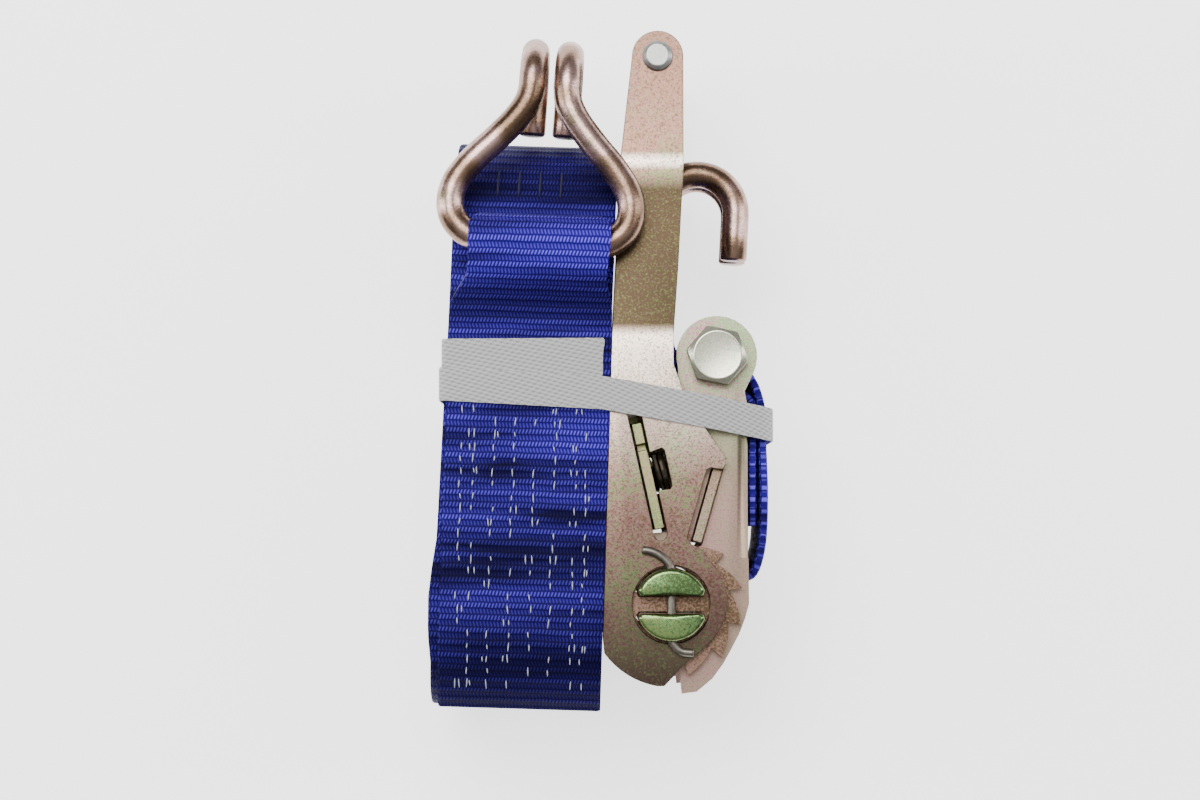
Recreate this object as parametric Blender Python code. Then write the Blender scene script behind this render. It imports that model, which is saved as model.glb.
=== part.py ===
"""A 50 mm ratchet tie down lying on its side: a frame, a ratchet handle, a slotted mandrel, two double J
hooks, a short sewn strap and a long strap rolled up beside the ratchet, all held by a packing band.

Metres, +Z up. Sizes below are in millimetres and are turned into metres by mm(). They are written in the
ratchet's own axes: the mandrel's axis is X = 0, Y = 0, and MID_Z is the ratchet's middle plane. OFFSET
then moves everything so that the origin is the middle of the footprint, on the floor.
"""

import math

import bmesh
import bpy
from mathutils import Matrix, Vector

# --- driving dimensions, in millimetres -------------------------------------------------------------
OFFSET = (20.03, -71.49)        # from the ratchet's axes to the middle of the footprint
MID_Z = 43.0                  # height of the ratchet's middle plane
STRAP_WIDTH = 50.0
STRAP_THICK = 2.4
GAP = 0.3                     # between solids that touch on the real thing

FRAME_INNER = 27.0            # half distances from the middle plane
FRAME_OUTER = 30.0
WHEEL_INNER = 30.4
WHEEL_OUTER = 34.0
HANDLE_INNER = 34.4
HANDLE_OUTER = 37.4
MANDREL_END = 43.0
HANDLE_JOGGLE = 6.0           # how far the grip end of each handle side is set inwards
JOGGLE_START = 82.5
JOGGLE_END = 135.0

MANDREL_R = 11.2
MANDREL_SLOT = 5.1
PIVOT_HOLE_R = 11.9
TEETH = 12
TOOTH_TIP_R = 22.4
TOOTH_ROOT_R = 18.3
TOOTH_FACE_DEG = 72.6         # where one steep tooth face stands, from +X
FRAME_RIM_R = 22.2

EYE = (14.4, 76.4)            # the eye bolt's axis
EYE_R = 12.5
BOLT_R = 5.0
SLEEVE_R = 8.0
HEX_R = 9.7
HEX_TURN_DEG = 18.5

GRIP = (-3.8, 169.7)
GRIP_END_R = 8.0

PAWL_THICK = 3.0
LOCK_PAWL_TIP = (8.0, 19.0)
LOCK_PAWL_DEG = 74.0
LOCK_PAWL_LENGTH = 23.2
PAWL_TRAVEL = 3.5
DRIVE_PAWL_TIP = (-3.5, 23.0)
DRIVE_PAWL_DEG = 102.4
DRIVE_TAB = 24.5
DRIVE_SHOULDER = 26.5
DRIVE_PAWL_LENGTH = 36.0

COTTER_R = 1.3
COTTER_Z = 39.0

WIRE_R = 4.25
HOOK_HALF_WIDTH = 27.75       # of the wire's centreline at the webbing bar
HOOK_NECK = 5.35              # half distance of the two wires where they run side by side
HOOK_BEND_Y = 47.5            # from the bar to the centre of the J bend
HOOK_BEND_R = 12.25
LONG_HOOK_TIP = 12.0
SHORT_HOOK_TIP = 15.0
SHORT_HOOK_BAR = (-5.35, 77.2)
SHORT_HOOK_TILT_DEG = -3.0
LOOP_R = 6.9                  # webbing centreline round a hook's bar
LOOP_HALF_WIDTH = 19.2        # the webbing is squeezed narrower there

ROLL_TILT_DEG = -1.75
ROLL_CENTRE = (-44.6, 55.5)
ROLL_LENGTH = 179.0
ROLL_THICK = 76.0
ROLL_CORNER_R = 26.0
LONG_HOOK_TILT_DEG = -4.25
LONG_HOOK_BAR = (-40.6, 111.0)
EYE_SHIFT = 2.2               # the loop is pulled this far sideways to sit in the middle of its hook
BAND_THICK = 0.8
BAND_WIDTH = 11.5

ZINC = ((0.62, 0.56, 0.34), 0.34, 0.9)
STEEL = ((0.60, 0.60, 0.58), 0.4, 0.9)
BLUE = ((0.05, 0.04, 0.55), 0.75, 0.0)
GREY = ((0.62, 0.61, 0.60), 0.7, 0.0)


def mm(value):
    return value * 0.001


# --- helpers ------------------------------------------------------------------------------------------
def start():
    for old in list(bpy.data.objects):
        bpy.data.objects.remove(old)
    made = bpy.data.collections.new("ratchet_tie_down")
    cutters = bpy.data.collections.new("cutters")
    for collection in (made, cutters):
        bpy.context.scene.collection.children.link(collection)
    return made, cutters


PARTS, CUTTERS = start()


def material(name, look):
    colour, roughness, metallic = look
    made = bpy.data.materials.new(name)
    made.use_nodes = True
    shader = made.node_tree.nodes["Principled BSDF"]
    shader.inputs["Base Color"].default_value = (*colour, 1.0)
    shader.inputs["Roughness"].default_value = roughness
    shader.inputs["Metallic"].default_value = metallic
    return made


def place(data, name, look, origin=(0.0, 0.0, 0.0)):
    """An object for this node, with its origin (in mm, ratchet axes) on its joint's axis."""
    made = bpy.data.objects.new(name, data)
    PARTS.objects.link(made)
    data.materials.append(material(name + "_look", look))
    made.location = (mm(origin[0] + OFFSET[0]), mm(origin[1] + OFFSET[1]), mm(origin[2]))
    return made


def cutter(data, name, location=(0.0, 0.0, 0.0)):
    made = bpy.data.objects.new(name, data)
    CUTTERS.objects.link(made)
    made.location = (mm(location[0] + OFFSET[0]), mm(location[1] + OFFSET[1]), mm(location[2]))
    made.hide_render = True
    made.display_type = "WIRE"
    return made


def boolean(target, tool, operation):
    made = target.modifiers.new(operation.lower() + "_" + tool.name, "BOOLEAN")
    made.operation = operation
    made.solver = "EXACT"
    made.object = tool


def arc(centre, radius, start_deg, end_deg, steps):
    """Points along an arc, ends included, in mm."""
    made = []
    for i in range(steps + 1):
        angle = math.radians(start_deg + (end_deg - start_deg) * i / steps)
        made.append((centre[0] + radius * math.cos(angle), centre[1] + radius * math.sin(angle)))
    return made


def circle(centre, radius, steps=32):
    return arc(centre, radius, 0.0, 360.0, steps)[:-1]


def along(tip, degrees, distance, side=0.0):
    """The point this far from tip in a direction, and this far to the right of that line."""
    angle = math.radians(degrees)
    return (
        tip[0] + distance * math.cos(angle) + side * math.sin(angle),
        tip[1] + distance * math.sin(angle) - side * math.cos(angle),
    )


def outline_mesh(name, loops, low, high):
    """A flat outline with holes, from one height to another, as a mesh with welded caps."""
    curve = bpy.data.curves.new(name, "CURVE")
    curve.dimensions = "2D"
    curve.fill_mode = "BOTH"
    curve.extrude = mm(high - low) / 2
    for loop in loops:
        spline = curve.splines.new("POLY")
        spline.points.add(len(loop) - 1)
        for point, (x, y) in zip(spline.points, loop):
            point.co = (mm(x), mm(y), 0.0, 1.0)
        spline.use_cyclic_u = True
    return weld(curve, name, (0.0, 0.0, mm(low + high) / 2))


def weld(curve, name, shift=(0.0, 0.0, 0.0)):
    """The evaluated mesh of a curve, with its loose caps welded on and its faces pointing out."""
    holder = bpy.data.objects.new(name, curve)
    PARTS.objects.link(holder)
    bpy.context.view_layer.update()
    graph = bpy.context.evaluated_depsgraph_get()
    data = bpy.data.meshes.new_from_object(holder.evaluated_get(graph))
    bpy.data.objects.remove(holder)
    body = bmesh.new()
    body.from_mesh(data)
    bmesh.ops.translate(body, verts=body.verts, vec=Vector(shift))
    bmesh.ops.remove_doubles(body, verts=body.verts, dist=1e-6)
    bmesh.ops.recalc_face_normals(body, faces=body.faces)
    body.to_mesh(data)
    body.free()
    return data


def tube_mesh(name, points, radius, resolution=3):
    """A round wire through these points (mm), with filled ends."""
    curve = bpy.data.curves.new(name, "CURVE")
    curve.dimensions = "3D"
    curve.bevel_depth = mm(radius)
    curve.bevel_resolution = resolution
    curve.use_fill_caps = True
    spline = curve.splines.new("POLY")
    spline.points.add(len(points) - 1)
    for target, point in zip(spline.points, points):
        target.co = (mm(point[0]), mm(point[1]), mm(point[2]), 1.0)
    data = weld(curve, name)
    for polygon in data.polygons:
        polygon.use_smooth = True
    return data


def smooth_path(points, per_span, closed=False):
    """A Catmull-Rom curve through the points, in as many dimensions as they have."""
    made = []
    count = len(points)
    spans = count if closed else count - 1
    for i in range(spans):
        four = []
        for k in (-1, 0, 1, 2):
            j = i + k
            four.append(points[j % count] if closed else points[min(max(j, 0), count - 1)])
        for step in range(per_span):
            t = step / per_span
            made.append(tuple(
                0.5 * (2 * b + (c - a) * t + (2 * a - 5 * b + 4 * c - d) * t * t
                       + (3 * b - a - 3 * c + d) * t ** 3)
                for a, b, c, d in zip(*four)
            ))
    if not closed:
        made.append(tuple(points[-1]))
    return made


def ribbon_outline(points, thick):
    """Both sides of a strip of this thickness that follows the points: one closed outline."""
    left, right = [], []
    for i, point in enumerate(points):
        before = Vector(points[max(i - 1, 0)])
        after = Vector(points[min(i + 1, len(points) - 1)])
        run = (after - before).normalized()
        normal = Vector((-run.y, run.x)) * thick / 2
        left.append((point[0] + normal.x, point[1] + normal.y))
        right.append((point[0] - normal.x, point[1] - normal.y))
    return left + right[::-1]


def loft(rings, closed):
    """A solid between equal rings of points (mm). An open one gets a cap at each end."""
    body = bmesh.new()
    rows = [[body.verts.new([mm(c) for c in point]) for point in ring] for ring in rings]
    count = len(rows[0])
    pairs = list(zip(rows, rows[1:]))
    if closed:
        pairs.append((rows[-1], rows[0]))
    for low, high in pairs:
        for i in range(count):
            j = (i + 1) % count
            body.faces.new((low[i], low[j], high[j], high[i]))
    if not closed:
        body.faces.new(rows[0][::-1])
        body.faces.new(rows[-1])
    bmesh.ops.recalc_face_normals(body, faces=body.faces)
    return body


def finish_mesh(body, name):
    data = bpy.data.meshes.new(name)
    body.to_mesh(data)
    body.free()
    return data


def webbing(path, half_widths, name):
    """Webbing that follows a path in X and Y, standing on edge, this far to each side of Z = 0."""
    sides = ribbon_outline(path, STRAP_THICK)
    count = len(path)
    rings = []
    for i, half in enumerate(half_widths):
        a, b = sides[i], sides[2 * count - 1 - i]
        rings.append([(*a, -half), (*b, -half), (*b, half), (*a, half)])
    return finish_mesh(loft(rings, False), name)


def cylinder_mesh(name, radius, low, high, sides=24, turn_deg=0.0):
    body = bmesh.new()
    bmesh.ops.create_cone(
        body, cap_ends=True, segments=sides, radius1=mm(radius), radius2=mm(radius),
        depth=mm(high - low),
        matrix=Matrix.Translation((0, 0, mm(low + high) / 2)) @ Matrix.Rotation(math.radians(turn_deg), 4, "Z"),
    )
    return finish_mesh(body, name)


def box_mesh(name, low, high):
    body = bmesh.new()
    size = [mm(b - a) for a, b in zip(low, high)]
    middle = [mm(a + b) / 2 for a, b in zip(low, high)]
    bmesh.ops.create_cube(body, size=1.0, matrix=Matrix.Translation(middle) @ Matrix.Diagonal((*size, 1.0)))
    return finish_mesh(body, name)


def turned_mesh(name, profile, sides=24):
    """A solid pin: circles of these (radius, height) pairs joined from the bottom up."""
    rings = [[(r * x, r * y, z) for x, y in circle((0.0, 0.0), 1.0, sides)] for r, z in profile]
    return finish_mesh(loft(rings, False), name)


def both_sides(low, high, side):
    """Heights above the floor of a layer this far from the middle plane, on the near (+1) or far side."""
    ends = sorted((MID_Z + side * low, MID_Z + side * high))
    return ends[0], ends[1]


# --- the frame and what is fixed to it ---------------------------------------------------------------
def pawl_slot(tip, degrees, low, high, half_width):
    """A slot with a round end at its low end, along a pawl's line of travel."""
    nose = along(tip, degrees, low + half_width)
    return (
        [along(tip, degrees, high, half_width), along(tip, degrees, high, -half_width)]
        + arc(nose, half_width, degrees + 90, degrees + 270, 8)
    )


def frame_outline():
    neck = [(23.0, 65.5), (24.0, 60.0), (24.0, 18.0), (24.2, 0.0), (22.9, -4.6), (21.1, -9.2)]
    bulge = [(18.7, -13.8), (16.2, -18.3), (12.8, -22.9), (8.0, -26.9), (3.4, -27.5), (2.9, -22.6)]
    rim = arc((0.0, 0.0), FRAME_RIM_R, 278.0, 92.0, 26)
    eye = arc(EYE, EYE_R, 195.0, -25.0, 20)
    return eye + neck + bulge + rim + [(1.6, 26.0), (2.6, 68.0)]


def make_frame():
    hole = circle((0.0, 0.0), PIVOT_HOLE_R, 40)
    eye_hole = circle(EYE, BOLT_R + GAP, 24)
    slot = pawl_slot(LOCK_PAWL_TIP, LOCK_PAWL_DEG, -1.6, LOCK_PAWL_LENGTH + PAWL_TRAVEL + 0.6,
                     PAWL_THICK / 2 + 0.35)
    low, high = MID_Z - FRAME_OUTER, MID_Z + FRAME_OUTER
    made = place(outline_mesh("frame", [frame_outline(), hole, eye_hole, slot], low, high), "frame", ZINC)

    # the channel between the side plates, open everywhere but at the back wall
    wall_low, wall_high, wall_inner = 18.0, 60.0, 21.0
    far = 200.0
    channel = [(-far, -far), (far, -far), (far, wall_low), (wall_inner, wall_low),
               (wall_inner, wall_high), (far, wall_high), (far, far), (-far, far)]
    inner_low, inner_high = MID_Z - FRAME_INNER, MID_Z + FRAME_INNER
    boolean(made, cutter(outline_mesh("channel", [channel], inner_low, inner_high), "channel"), "DIFFERENCE")

    # round bends where the back wall meets the side plates
    bend, back = 4.0, 24.5
    for label, level, side in (("near", high, 1), ("far", low, -1)):
        inside = level - side * bend
        edge = [(x, inside + side * (z - inside)) for x, z in arc((back - bend, inside), bend, 90, 0, 6)]
        block = outline_mesh("bend_" + label, [edge + [(back + 3, inside), (back + 3, level + side),
                                                       (back - bend, level + side)]], -62.0, -14.0)
        block.transform(Matrix.Rotation(math.radians(90), 4, "X"))
        boolean(made, cutter(block, "bend_" + label), "DIFFERENCE")
    return made


def make_eye_fasteners():
    low, high = both_sides(FRAME_OUTER + GAP, FRAME_OUTER + GAP + 6.4, 1)
    far_end = MID_Z - 42.0
    bolt = place(cylinder_mesh("eye_bolt", BOLT_R, far_end, low + 1.0), "eye_bolt", ZINC, (*EYE, 0.0))
    head = cylinder_mesh("bolt_head", HEX_R, low, high, 6, HEX_TURN_DEG)
    boolean(bolt, cutter(head, "bolt_head", (*EYE, 0.0)), "UNION")
    washer_top = MID_Z - FRAME_OUTER - GAP
    nut_top = washer_top - 1.6 - GAP
    ring("eye_washer", 10.0, BOLT_R + GAP, washer_top - 1.6, washer_top, EYE, ZINC)
    nut = place(cylinder_mesh("eye_nut", HEX_R, nut_top - 8.0, nut_top, 6, 25.0), "eye_nut", ZINC, (*EYE, 0.0))
    bore = cylinder_mesh("nut_bore", BOLT_R + GAP, nut_top - 9.0, nut_top + 1.0)
    boolean(nut, cutter(bore, "nut_bore", (*EYE, 0.0)), "DIFFERENCE")
    ring("eye_sleeve", SLEEVE_R, BOLT_R + GAP, MID_Z - FRAME_INNER + GAP, MID_Z + FRAME_INNER - GAP, EYE, STEEL)


def ring(name, outer, inner, low, high, centre, look):
    loops = [circle((0.0, 0.0), outer), circle((0.0, 0.0), inner)]
    return place(outline_mesh(name, loops, low, high), name, look, (*centre, 0.0))


def short_strap_path():
    """From the sewn inner end, round the sleeve, down the back, up inside the frame and round the hook bar."""
    wrap = SLEEVE_R + 0.4 + STRAP_THICK / 2
    inner_leg = smooth_path([(25.6, 24.0), (25.6, 44.0), (25.7, 60.0), (23.4, 64.4), (16.6, 66.4)], 3)
    loop = arc(EYE, wrap, 240.0, -20.0, 16)
    outer_leg = smooth_path([(26.6, 67.5), (28.4, 61.0), (28.8, 50.0), (29.3, 34.0), (28.7, 19.0),
                             (26.0, 9.5), (21.5, 8.6), (18.9, 15.0), (18.7, 36.0), (18.0, 55.0),
                             (12.0, 61.2), (4.0, 65.4), (0.6, 68.0)], 3)
    bar = arc(SHORT_HOOK_BAR, LOOP_R, -80.0, -322.0, 16)
    return inner_leg + loop + outer_leg, bar + [(1.7, 76.6), (1.6, 73.0)]


def make_short_strap():
    body, bar = short_strap_path()
    full = STRAP_WIDTH / 2
    widths = [full] * (len(body) - 2) + [full - 1.0, full - 2.5] + [LOOP_HALF_WIDTH] * len(bar)
    data = webbing(body + bar, widths, "short_strap")
    place(data, "short_strap", BLUE, (0.0, 0.0, MID_Z))


def hook_points(tip):
    """Half of a double J hook: u across, v from the bar to the bend, w down from the hook's plane."""
    shoulder = [(18.0, 0.0, 0.0), (22.5, 1.2, 0.0), (26.6, 5.4, 0.0), (27.75, 11.0, 0.0),
                (26.2, 17.0, 0.0), (21.6, 23.6, 0.0), (15.4, 30.2, 0.0), (9.6, 37.0, 0.0),
                (6.3, 42.6, 0.0), (HOOK_NECK, HOOK_BEND_Y, 0.0)]
    half = smooth_path(shoulder, 2)
    for u, w_and_v in [(HOOK_NECK, p) for p in arc((0.0, 0.0), HOOK_BEND_R, 90.0, -90.0, 12)[1:]]:
        half.append((u, HOOK_BEND_Y + w_and_v[0], HOOK_BEND_R - w_and_v[1]))
    half.append((HOOK_NECK, HOOK_BEND_Y - tip / 2, 2 * HOOK_BEND_R))
    half.append((HOOK_NECK, HOOK_BEND_Y - tip, 2 * HOOK_BEND_R))
    return half


def make_hook(name, origin, to_world, tip):
    """A double J hook with its origin at the middle of its webbing bar."""
    half = hook_points(tip)
    whole = [(-u, v, w) for u, v, w in half[::-1]] + half
    points = [tuple(to_world @ Vector(p)) for p in whole]
    return place(tube_mesh(name, points, WIRE_R, 2), name, ZINC, origin)


def make_short_hook():
    across, forward, down = Vector((0, 0, 1)), Vector((0, 1, 0)), Vector((1, 0, 0))
    tilt = Matrix.Rotation(math.radians(SHORT_HOOK_TILT_DEG), 3, "Z")
    turn = tilt @ Matrix((across, forward, down)).transposed()
    make_hook("short_strap_hook", (*SHORT_HOOK_BAR, MID_Z), turn, SHORT_HOOK_TIP)


def make_packing_band():
    """A thin tight band round the roll and the ratchet, with its right end a little lower."""
    left, right, top, bottom = -70.7, 31.9, 82.5, 0.7
    corners = [(left, 1.6), (left, 81.2), (left + 1.3, top), (-21.0, top), (11.0, 81.4), (right, 69.2),
               (right, 16.8), (11.0, 4.6), (-20.0, bottom), (left + 0.9, bottom)]
    middle_x = sum(c[0] for c in corners) / len(corners)
    middle_z = sum(c[1] for c in corners) / len(corners)
    rings = []
    for x, z in corners:
        out = Vector((x - middle_x, z - middle_z)).normalized() * BAND_THICK / 2
        y = 65.3 - 0.187 * max(x + 21.0, 0.0)
        low, high = y - BAND_WIDTH / 2, y + BAND_WIDTH / 2
        rings.append([(x - out.x, low, z - out.y), (x + out.x, low, z + out.y),
                      (x + out.x, high, z + out.y), (x - out.x, high, z - out.y)])
    place(finish_mesh(loft(rings, True), "packing_band"), "packing_band", GREY)


# --- the pawls and their springs -----------------------------------------------------------------------
def pawl_mesh(name, tip, degrees, half_outline):
    """A flat pawl plate: its (distance, half width) outline, standing on edge along its line of travel."""
    loop = half_outline + [(s, -w) for s, w in half_outline[::-1]]
    data = outline_mesh(name, [loop], -PAWL_THICK / 2, PAWL_THICK / 2)
    angle = math.radians(degrees)
    forward = Vector((math.cos(angle), math.sin(angle), 0))
    across = Vector((0, 0, 1))
    turn = Matrix((forward, across, forward.cross(across))).transposed().to_4x4()
    data.transform(Matrix.Translation((0, 0, mm(MID_Z))) @ turn)
    return data


def make_pawls():
    lock = [(0.0, WHEEL_OUTER), (LOCK_PAWL_LENGTH, WHEEL_OUTER)]
    place(pawl_mesh("lock_pawl", LOCK_PAWL_TIP, LOCK_PAWL_DEG, lock), "lock_pawl", STEEL, (*LOCK_PAWL_TIP, 0.0))
    full, waist, lip = HANDLE_OUTER - 0.4, HANDLE_INNER - 0.9, 16.0
    drive = [(0.0, full), (DRIVE_TAB, full), (DRIVE_TAB, waist), (DRIVE_SHOULDER, waist),
             (DRIVE_SHOULDER, full), (DRIVE_PAWL_LENGTH - 3.0, full), (DRIVE_PAWL_LENGTH - 3.0, lip),
             (DRIVE_PAWL_LENGTH, lip)]
    made = place(pawl_mesh("drive_pawl", DRIVE_PAWL_TIP, DRIVE_PAWL_DEG, drive), "drive_pawl", ZINC,
                 (*DRIVE_PAWL_TIP, 0.0))
    pull = box_mesh("pull_lip", (-6.0, DRIVE_PAWL_LENGTH - 2.0, MID_Z - lip), (1.0, DRIVE_PAWL_LENGTH, MID_Z + lip))
    pull.transform(Matrix.Rotation(math.radians(DRIVE_PAWL_DEG - 90), 4, "Z"))
    boolean(made, cutter(pull, "pull_lip", (*DRIVE_PAWL_TIP, 0.0)), "UNION")


def torsion_spring(name, centre, degrees, radius, wire, turns, height):
    """A coil lying flat on a pawl plate, its axis across the plate, with two short legs."""
    per_turn, pitch = 12, wire * 2 + 0.25
    points = []
    count = int(turns * per_turn)
    angle = math.radians(degrees)
    forward = Vector((math.cos(angle), math.sin(angle), 0))
    axis = Vector((math.sin(angle), -math.cos(angle), 0))
    up = Vector((0, 0, 1))
    middle = Vector((centre[0], centre[1], height))
    for i in range(count + 1):
        turn = 2 * math.pi * i / per_turn
        shift = pitch * (i / per_turn - turns / 2)
        points.append(middle + axis * shift + radius * (math.cos(turn) * forward + math.sin(turn) * up))
    first = points[0] - up * radius * 0.9
    last = points[-1] - forward * radius * 0.2
    origin = middle.copy()
    local = [tuple(p - origin) for p in [first] + points + [last]]
    return place(tube_mesh(name, local, wire, 1), name, STEEL, tuple(origin))


def make_springs():
    coil_r, wire = 5.1, 0.8
    drive_side = PAWL_THICK / 2 + 2 * GAP + 2.6
    beside = along(DRIVE_PAWL_TIP, DRIVE_PAWL_DEG, 17.6, drive_side)
    inset = HANDLE_INNER - 0.6 - coil_r - wire
    torsion_spring("drive_pawl_spring_near", beside, DRIVE_PAWL_DEG, coil_r, wire, 2.0, MID_Z + inset)
    torsion_spring("drive_pawl_spring_far", beside, DRIVE_PAWL_DEG, coil_r, wire, 2.0, MID_Z - inset)
    beside = along(LOCK_PAWL_TIP, LOCK_PAWL_DEG, 12.0, -(PAWL_THICK / 2 + 2 * GAP + 2.4))
    torsion_spring("lock_pawl_spring", beside, LOCK_PAWL_DEG, coil_r, wire, 2.0, MID_Z)


# --- the handle ------------------------------------------------------------------------------------------
def handle_outline():
    top = arc(GRIP, GRIP_END_R, 180.0, 0.0, 16)
    right = [(4.2, 135.0), (2.4, 103.0), (0.9, 82.5), (0.9, 73.4), (3.8, 65.4), (10.6, 53.8), (16.6, 45.2)]
    corner = [(17.0, 43.2), (15.9, 41.2), (12.0, 41.6), (10.9, 40.9)]
    beside_pawl = [(4.9, 20.1), (5.6, 18.6), (7.8, 17.7), (10.0, 16.2)]
    lobe = smooth_path([(12.2, 12.9), (15.9, 8.1), (17.2, 1.2), (16.0, -5.2), (13.0, -10.2), (8.6, -14.6),
                        (4.1, -18.2), (0.2, -22.4), (-2.1, -24.8)], 3)
    foot = arc((0.0, 0.0), 25.2, 260.0, 216.0, 8)
    left = [(-20.9, -10.0), (-20.6, 0.0), (-19.05, 50.0), (-18.0, 84.4), (-15.3, 138.8), (-14.1, 149.9)]
    return top + right + corner + beside_pawl + lobe + foot + left


def spring_window():
    """The slot of the drive pawl with the wider window that shows its spring."""
    half = 2.1
    low, high = -3.6, DRIVE_PAWL_LENGTH + PAWL_TRAVEL + 1.0
    nose = along(DRIVE_PAWL_TIP, DRIVE_PAWL_DEG, low + half)
    window = [(23.4, half), (24.0, 6.0), (23.2, 6.6), (12.0, 6.6), (11.2, 5.8), (11.6, half)]
    points = [along(DRIVE_PAWL_TIP, DRIVE_PAWL_DEG, high, -half), along(DRIVE_PAWL_TIP, DRIVE_PAWL_DEG, high, half)]
    points += [along(DRIVE_PAWL_TIP, DRIVE_PAWL_DEG, s, side) for s, side in window]
    return points + arc(nose, half, DRIVE_PAWL_DEG - 90, DRIVE_PAWL_DEG - 270, 8)


def handle_side(name, side):
    low, high = both_sides(HANDLE_INNER, HANDLE_OUTER, side)
    loops = [handle_outline(), circle((0.0, 0.0), PIVOT_HOLE_R, 40), circle(GRIP, 3.5 + GAP, 20), spring_window()]
    data = outline_mesh(name, loops, low, high)
    body = bmesh.new()
    body.from_mesh(data)
    for bend in (JOGGLE_START, JOGGLE_END):
        bmesh.ops.bisect_plane(body, geom=body.verts[:] + body.edges[:] + body.faces[:], dist=1e-7,
                               plane_co=(0, mm(bend), 0), plane_no=(0, 1, 0))
    for vert in body.verts:
        share = (vert.co.y * 1000 - JOGGLE_START) / (JOGGLE_END - JOGGLE_START)
        vert.co.z -= side * mm(HANDLE_JOGGLE) * min(max(share, 0.0), 1.0)
    body.to_mesh(data)
    body.free()
    return place(data, name, ZINC)


def make_handle():
    handle_side("handle_side_near", 1)
    handle_side("handle_side_far", -1)
    width = HANDLE_INNER - GAP
    plate = box_mesh("handle_crossplate", (-17.9, 65.0, MID_Z - width), (-15.9, 80.0, MID_Z + width))
    place(plate, "handle_crossplate", ZINC)
    face = HANDLE_OUTER - HANDLE_JOGGLE
    shank, head = 3.5, 4.7
    top, bottom = MID_Z + face + GAP, MID_Z - face - GAP
    profile = [(head - 1.2, bottom - 2.0), (head, bottom - 1.0), (head, bottom), (shank, bottom),
               (shank, top), (head, top), (head, top + 1.0), (head - 1.2, top + 2.0)]
    place(turned_mesh("grip_rivet", profile), "grip_rivet", STEEL, (*GRIP, 0.0))
    length = face - (HANDLE_OUTER - HANDLE_INNER) - GAP
    ring("grip_sleeve", 7.2, shank + GAP, MID_Z - length, MID_Z + length, GRIP, ZINC)


# --- the mandrel -----------------------------------------------------------------------------------------
def half_moon(radius, chord, side):
    """A circular segment with blunt corners, above (+1) or below the mandrel's slot."""
    blunt = math.degrees(math.asin(chord / radius)) + 9.0
    points = arc((0.0, 0.0), radius, blunt, 180.0 - blunt, 16)
    reach = math.sqrt(radius ** 2 - chord ** 2) - 1.5
    return [(x, side * y) for x, y in points + [(-reach, chord), (reach, chord)]]


def ratchet_outline():
    """Saw teeth: a steep face, then a back that falls to the root of the next face."""
    points = []
    for tooth in range(TEETH):
        face = TOOTH_FACE_DEG + 360.0 * tooth / TEETH
        steps = 4
        for i in range(steps):
            share = i / steps
            angle = math.radians(face + 360.0 / TEETH * share + 0.8)
            radius = TOOTH_TIP_R - (TOOTH_TIP_R - TOOTH_ROOT_R) * share
            points.append((radius * math.cos(angle), radius * math.sin(angle)))
        angle = math.radians(face + 360.0 / TEETH)
        points.append((TOOTH_ROOT_R * math.cos(angle), TOOTH_ROOT_R * math.sin(angle)))
    return points


def make_mandrel():
    chord = MANDREL_SLOT / 2
    for label, side in (("upper", 1), ("lower", -1)):
        name = "mandrel_half_" + label
        moon = half_moon(MANDREL_R, chord, side)
        half = place(outline_mesh(name, [moon], MID_Z - MANDREL_END, MID_Z + MANDREL_END), name, ZINC)
        for end, level in (("near", 1), ("far", -1)):
            data = cylinder_mesh("cotter_hole", COTTER_R + GAP, -30.0, 30.0, 16)
            data.transform(Matrix.Rotation(math.radians(90), 4, "X"))
            tool = cutter(data, "cotter_hole_" + label + "_" + end, (0.0, 0.0, MID_Z + level * COTTER_Z))
            boolean(half, tool, "DIFFERENCE")
    for label, side in (("near", 1), ("far", -1)):
        name = "ratchet_wheel_" + label
        low, high = both_sides(WHEEL_INNER, WHEEL_OUTER, side)
        moons = [half_moon(MANDREL_R + GAP, chord - GAP, way) for way in (1, -1)]
        place(outline_mesh(name, [ratchet_outline(), *moons], low, high), name, ZINC)
        name = "cotter_pin_" + label
        bent = smooth_path([(-8.6, 16.6), (-6.0, 16.2), (-3.2, 14.8), (-0.9, 12.6), (0.0, 9.6), (0.0, 0.0),
                            (0.0, -9.8), (0.8, -12.2), (3.2, -14.2), (6.6, -14.6)], 3)
        points = [(x, y, 0.0) for x, y in bent]
        place(tube_mesh(name, points, COTTER_R, 1), name, STEEL, (0.0, 0.0, MID_Z + side * COTTER_Z))


# --- the long strap ----------------------------------------------------------------------------------------
def side_profile_to_world(data, tilt_deg):
    """Turns an outline drawn in (Y, Z) and extruded along X into place, tilted about the vertical."""
    turn = Matrix(((0, 0, 1), (1, 0, 0), (0, 1, 0))).to_4x4()
    data.transform(turn)
    tilt = Matrix.Rotation(math.radians(tilt_deg), 4, "Z")
    data.transform(tilt)
    return data


def rounded_rectangle(length, low, high, radius):
    points = []
    for y_side, z_level, start_deg in ((1, high, 0), (-1, high, 90), (-1, low, 180), (1, low, 270)):
        centre_y = y_side * (length / 2 - radius)
        centre_z = z_level - radius if z_level == high else z_level + radius
        points += arc((centre_y, centre_z), radius, start_deg, start_deg + 90, 6)
    return points


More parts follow.
